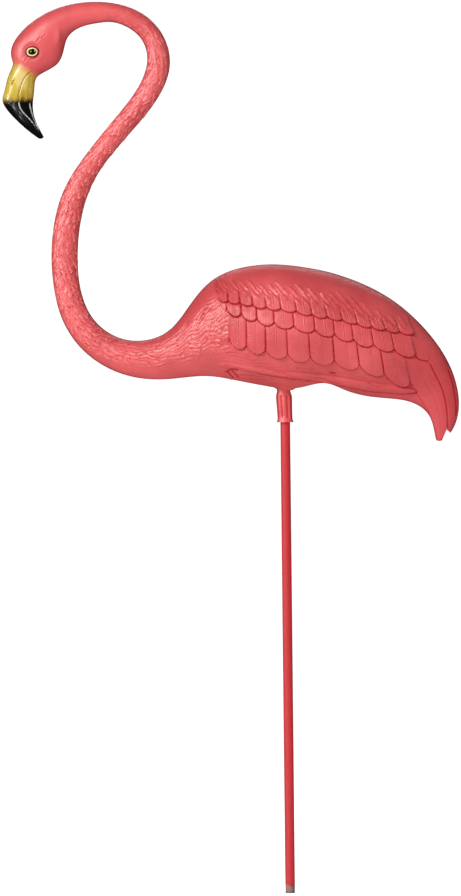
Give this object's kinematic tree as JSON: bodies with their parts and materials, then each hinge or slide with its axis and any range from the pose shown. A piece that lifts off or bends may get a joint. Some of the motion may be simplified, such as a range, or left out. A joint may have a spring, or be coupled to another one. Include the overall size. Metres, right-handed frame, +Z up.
{
  "type": "flamingo lawn ornament",
  "caption": "Pink moulded flamingo lawn ornament on a crimson wooden stake that is pushed into the ground.",
  "frame": {"origin": "middle of the stake's lower end, where it enters the ground", "axes": "+Z up along the stake, -X towards the bird's breast and bill, +Y across the body"},
  "size_m": [0.3715, 0.096, 0.7323],
  "materials": {
    "pink_plastic": "satin",
    "painted_wood": "painted"
  },
  "bodies": {
    "root": {"flamingo": "pink_plastic", "stake": "painted_wood"}
  },
  "joints": []
}
